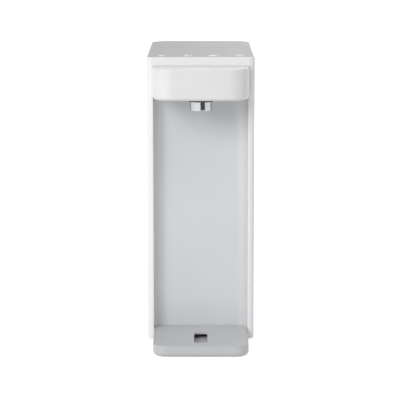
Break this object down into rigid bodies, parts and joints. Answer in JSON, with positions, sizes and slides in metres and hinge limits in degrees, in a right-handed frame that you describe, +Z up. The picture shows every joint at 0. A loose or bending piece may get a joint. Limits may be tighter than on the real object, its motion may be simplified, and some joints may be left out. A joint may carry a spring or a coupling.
{
  "type": "countertop hot water dispenser",
  "caption": "Slim countertop hot water dispenser: spout head over a concave cup bay, forward drip tray, touch panel on top and lift-out rear tank with hinged lid.",
  "frame": {"origin": "on the counter, under the middle of the whole footprint from the drip tray's front edge to the tank's back", "axes": "+X to the right seen from the front, +Y from the drip tray towards the tank, +Z up"},
  "size_m": [0.126, 0.35, 0.336],
  "materials": {
    "white_shell": "satin gloss white moulding",
    "liner_white": "satin off-white moulding",
    "panel_grey": "matte grey with a fine grain",
    "tray_grey": "satin light grey",
    "chrome_nozzle": "polished",
    "dark_plastic": "satin black",
    "clear_tank": "clear, slightly smoky",
    "inner_plastic": "plain moulded",
    "foot_rubber": "matte",
    "seal_silicone": "translucent white",
    "hose_silicone": "translucent white",
    "steel": "zinc plated",
    "stainless": "brushed",
    "circuit_green": "solder mask",
    "contact_foam": "conductive foam",
    "base_grey": "fine texture"
  },
  "bodies": {
    "root": {"outer_shell": "white_shell", "recess_panel": "liner_white", "head_shell": "white_shell", "head_underside": "liner_white", "head_screws": "steel", "nozzle_collar": "dark_plastic", "nozzle": "chrome_nozzle", "nozzle_insert": "dark_plastic", "outlet_chamber": "inner_plastic", "chamber_cover": "inner_plastic", "control_panel": "panel_grey", "touch_board": "circuit_green", "touch_contacts": "contact_foam", "touch_screws": "steel", "rear_bulkhead": "liner_white", "level_switch": "dark_plastic", "tank_dock": "base_grey", "dock_port": "inner_plastic", "dock_seal": "seal_silicone", "base_plate": "base_grey", "base_screws": "steel", "base_feet": "foot_rubber", "cord_gland": "dark_plastic", "inner_frame": "inner_plastic", "heater_tube": "stainless", "heater_lower_cap": "dark_plastic", "heater_upper_cap": "dark_plastic", "heater_element": "stainless", "heater_clamps": "steel", "thermostats": "dark_plastic", "heater_sensor": "steel", "pump_housing": "dark_plastic", "pump_cover": "dark_plastic", "pump_motor": "stainless", "pump_mount": "foot_rubber", "inlet_hose": "hose_silicone", "feed_hose": "hose_silicone", "hot_hose": "hose_silicone", "power_board": "circuit_green", "board_screws": "steel", "ribbon_cable": "base_grey"},
    "tank": {"water_tank": "clear_tank", "lid_pin": "steel", "tank_valve_body": "inner_plastic", "valve_seal": "seal_silicone", "valve_guide": "inner_plastic", "valve_spring": "stainless", "tank_filter": "inner_plastic", "float_guide": "inner_plastic"},
    "lid": {"tank_lid": "panel_grey"},
    "poppet": {"valve_poppet": "dark_plastic"},
    "float": {"level_float": "dark_plastic"},
    "rotor": {"pump_rotor": "inner_plastic"},
    "tray": {"drip_tray": "tray_grey"},
    "cover": {"tray_cover": "tray_grey"}
  },
  "joints": [
    {"name": "tank_lift", "type": "slide", "parent": "root", "child": "tank", "axis": [0, 0, 1], "range_m": [0, 0.32]},
    {"name": "lid_hinge", "type": "hinge", "parent": "tank", "child": "lid", "pos_m": [0, 0.1712, 0.3294], "axis": [-1, 0, 0], "range_deg": [0, 85]},
    {"name": "poppet_slide", "type": "slide", "parent": "tank", "child": "poppet", "axis": [0, 0, -1], "range_m": [0, 0.003], "deforming": ["valve_spring"]},
    {"name": "float_slide", "type": "slide", "parent": "tank", "child": "float", "axis": [0, 0, 1], "range_m": [0, 0.013]},
    {"name": "pump_spin", "type": "hinge", "parent": "root", "child": "rotor", "pos_m": [0, 0.02, 0.022], "axis": [0, 1, 0], "continuous": true},
    {"name": "tray_slide", "type": "slide", "parent": "root", "child": "tray", "axis": [0, -1, 0], "range_m": [0, 0.11]},
    {"name": "cover_lift", "type": "slide", "parent": "tray", "child": "cover", "axis": [0, 0, 1], "range_m": [0, 0.05]}
  ],
  "couplings": [
    {"joint": "poppet_slide", "follows": "tank_lift", "ratio": 0.009375}
  ]
}
